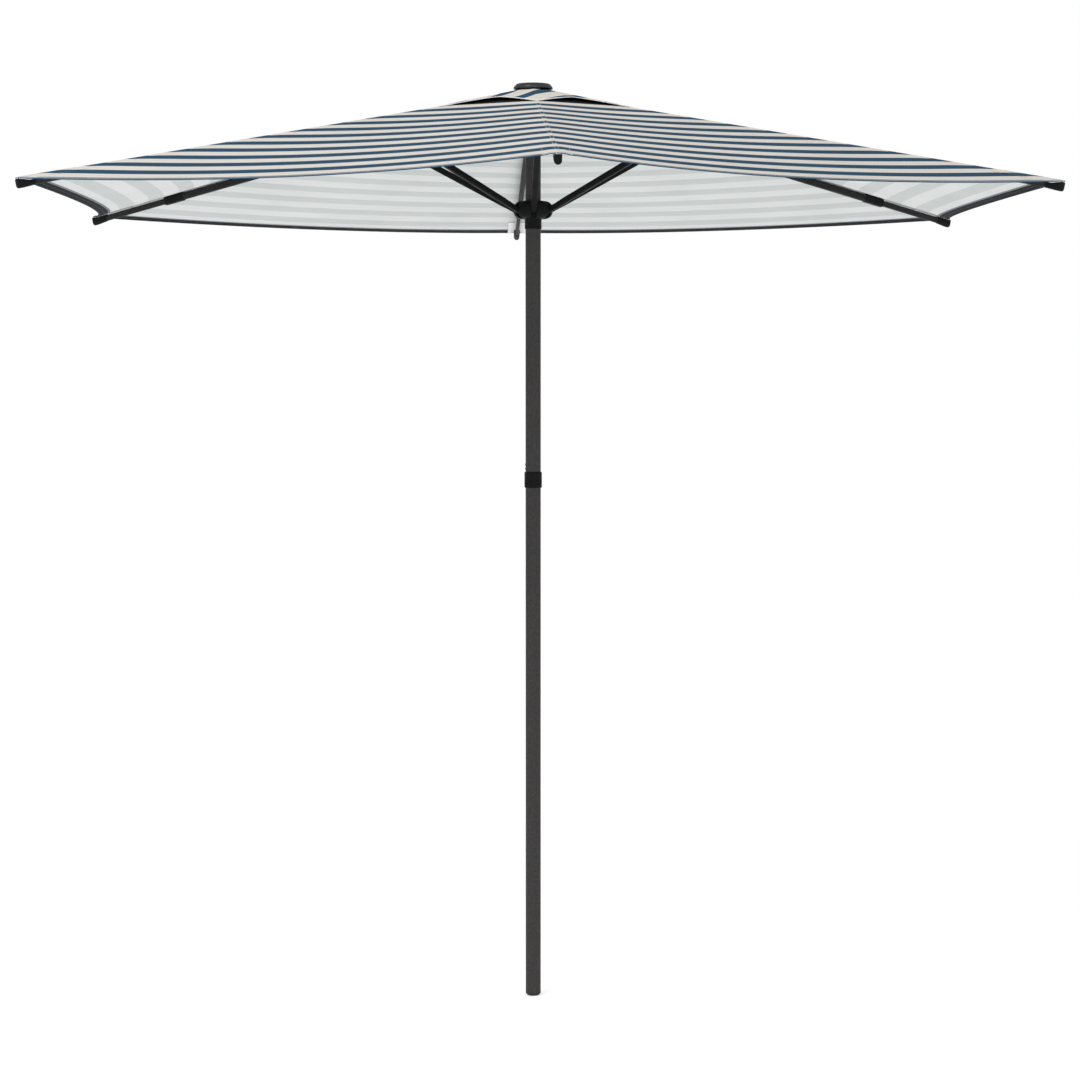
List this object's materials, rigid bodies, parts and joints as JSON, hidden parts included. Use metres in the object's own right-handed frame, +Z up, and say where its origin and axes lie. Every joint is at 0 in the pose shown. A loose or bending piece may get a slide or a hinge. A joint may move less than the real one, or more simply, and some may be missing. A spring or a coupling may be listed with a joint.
{
  "type": "beach umbrella",
  "caption": "Push-up beach umbrella: a two-piece round pole, hinged ribs and struts on a sliding runner, and a hexagonal striped canopy with a vent cap.",
  "frame": {"origin": "centre of the flat underside of the pole's foot", "axes": "+Z up the pole; rib 1 points along -Y, and the ribs are numbered anticlockwise seen from above"},
  "size_m": [2.3452, 2.7, 2.275],
  "materials": {
    "pole_paint": "satin dark grey powder coat",
    "frame_paint": "satin black powder coat",
    "black_plastic": "fine-grained moulded plastic",
    "steel": "zinc plated",
    "striped_cloth": "woven polyester, navy and cream stripes",
    "net": "black mesh"
  },
  "bodies": {
    "lower_pole": {"lower_pole_tube": "pole_paint", "foot_plug": "pole_paint", "joint_collar": "black_plastic"},
    "upper_pole": {"upper_pole_tube": "pole_paint", "joint_spigot": "steel", "joint_rivet_1": "steel", "joint_rivet_2": "steel", "top_hub": "black_plastic", "hub_cover": "black_plastic", "finial_cap": "black_plastic", "finial_bolt": "steel", "vent_cap": "striped_cloth", "vent_net": "net"},
    "catch": {"runner_catch": "steel"},
    "runner": {"runner": "black_plastic"},
    "rib_1": {"rib_1_inner_tube": "frame_paint", "rib_1_outer_tube": "frame_paint", "rib_1_joint_sleeve": "black_plastic", "rib_1_tip_cap": "black_plastic", "rib_1_strut_bracket": "black_plastic", "canopy_1": "striped_cloth"},
    "rib_2": {"rib_2_inner_tube": "frame_paint", "rib_2_outer_tube": "frame_paint", "rib_2_joint_sleeve": "black_plastic", "rib_2_tip_cap": "black_plastic", "rib_2_strut_bracket": "black_plastic", "canopy_2": "striped_cloth"},
    "rib_3": {"rib_3_inner_tube": "frame_paint", "rib_3_outer_tube": "frame_paint", "rib_3_joint_sleeve": "black_plastic", "rib_3_tip_cap": "black_plastic", "rib_3_strut_bracket": "black_plastic", "canopy_3": "striped_cloth"},
    "rib_4": {"rib_4_inner_tube": "frame_paint", "rib_4_outer_tube": "frame_paint", "rib_4_joint_sleeve": "black_plastic", "rib_4_tip_cap": "black_plastic", "rib_4_strut_bracket": "black_plastic", "canopy_4": "striped_cloth"},
    "rib_5": {"rib_5_inner_tube": "frame_paint", "rib_5_outer_tube": "frame_paint", "rib_5_joint_sleeve": "black_plastic", "rib_5_tip_cap": "black_plastic", "rib_5_strut_bracket": "black_plastic", "canopy_5": "striped_cloth"},
    "rib_6": {"rib_6_inner_tube": "frame_paint", "rib_6_outer_tube": "frame_paint", "rib_6_joint_sleeve": "black_plastic", "rib_6_tip_cap": "black_plastic", "rib_6_strut_bracket": "black_plastic", "canopy_6": "striped_cloth"},
    "strut_1": {"strut_1": "frame_paint"},
    "strut_2": {"strut_2": "frame_paint"},
    "strut_3": {"strut_3": "frame_paint"},
    "strut_4": {"strut_4": "frame_paint"},
    "strut_5": {"strut_5": "frame_paint"},
    "strut_6": {"strut_6": "frame_paint"}
  },
  "joints": [
    {"name": "pole_joint", "type": "slide", "parent": "lower_pole", "child": "upper_pole", "axis": [0, 0, 1], "range_m": [0, 0.2]},
    {"name": "runner_slide", "type": "slide", "parent": "upper_pole", "child": "runner", "axis": [0, 0, -1], "range_m": [0, 0.5025], "deforming": ["canopy_1", "canopy_2", "canopy_3", "canopy_4", "canopy_5", "canopy_6", "vent_cap", "vent_net", "runner_catch"]},
    {"name": "catch_press", "type": "slide", "parent": "upper_pole", "child": "catch", "axis": [0, -1, 0], "range_m": [0, 0.0045], "stiffness_N_per_m": 900},
    {"name": "rib_1_hinge", "type": "hinge", "parent": "upper_pole", "child": "rib_1", "pos_m": [0, -0.042, 2.236], "axis": [1, 0, 0], "range_deg": [0, 75.5]},
    {"name": "rib_2_hinge", "type": "hinge", "parent": "upper_pole", "child": "rib_2", "pos_m": [0.03637, -0.021, 2.236], "axis": [0.5, 0.866, 0], "range_deg": [0, 75.5]},
    {"name": "rib_3_hinge", "type": "hinge", "parent": "upper_pole", "child": "rib_3", "pos_m": [0.03637, 0.021, 2.236], "axis": [-0.5, 0.866, 0], "range_deg": [0, 75.5]},
    {"name": "rib_4_hinge", "type": "hinge", "parent": "upper_pole", "child": "rib_4", "pos_m": [0, 0.042, 2.236], "axis": [-1, 0, 0], "range_deg": [0, 75.5]},
    {"name": "rib_5_hinge", "type": "hinge", "parent": "upper_pole", "child": "rib_5", "pos_m": [-0.03637, 0.021, 2.236], "axis": [-0.5, -0.866, 0], "range_deg": [0, 75.5]},
    {"name": "rib_6_hinge", "type": "hinge", "parent": "upper_pole", "child": "rib_6", "pos_m": [-0.03637, -0.021, 2.236], "axis": [0.5, -0.866, 0], "range_deg": [0, 75.5]},
    {"name": "strut_1_hinge", "type": "hinge", "parent": "rib_1", "child": "strut_1", "pos_m": [0, -0.40277, 2.14301], "axis": [-1, 0, 0], "range_deg": [0, 138.88]},
    {"name": "strut_2_hinge", "type": "hinge", "parent": "rib_2", "child": "strut_2", "pos_m": [0.34881, -0.20139, 2.14301], "axis": [-0.5, -0.866, 0], "range_deg": [0, 138.88]},
    {"name": "strut_3_hinge", "type": "hinge", "parent": "rib_3", "child": "strut_3", "pos_m": [0.34881, 0.20139, 2.14301], "axis": [0.5, -0.866, 0], "range_deg": [0, 138.88]},
    {"name": "strut_4_hinge", "type": "hinge", "parent": "rib_4", "child": "strut_4", "pos_m": [0, 0.40277, 2.14301], "axis": [1, 0, 0], "range_deg": [0, 138.88]},
    {"name": "strut_5_hinge", "type": "hinge", "parent": "rib_5", "child": "strut_5", "pos_m": [-0.34881, 0.20139, 2.14301], "axis": [0.5, 0.866, 0], "range_deg": [0, 138.88]},
    {"name": "strut_6_hinge", "type": "hinge", "parent": "rib_6", "child": "strut_6", "pos_m": [-0.34881, -0.20139, 2.14301], "axis": [-0.5, 0.866, 0], "range_deg": [0, 138.88]}
  ],
  "couplings": [
    {"joint": "rib_1_hinge", "follows": "runner_slide", "rad_per_m": 2.6223},
    {"joint": "rib_2_hinge", "follows": "runner_slide", "rad_per_m": 2.6223},
    {"joint": "rib_3_hinge", "follows": "runner_slide", "rad_per_m": 2.6223},
    {"joint": "rib_4_hinge", "follows": "runner_slide", "rad_per_m": 2.6223},
    {"joint": "rib_5_hinge", "follows": "runner_slide", "rad_per_m": 2.6223},
    {"joint": "rib_6_hinge", "follows": "runner_slide", "rad_per_m": 2.6223},
    {"joint": "strut_1_hinge", "follows": "runner_slide", "rad_per_m": 4.8236},
    {"joint": "strut_2_hinge", "follows": "runner_slide", "rad_per_m": 4.8236},
    {"joint": "strut_3_hinge", "follows": "runner_slide", "rad_per_m": 4.8236},
    {"joint": "strut_4_hinge", "follows": "runner_slide", "rad_per_m": 4.8236},
    {"joint": "strut_5_hinge", "follows": "runner_slide", "rad_per_m": 4.8236},
    {"joint": "strut_6_hinge", "follows": "runner_slide", "rad_per_m": 4.8236}
  ]
}
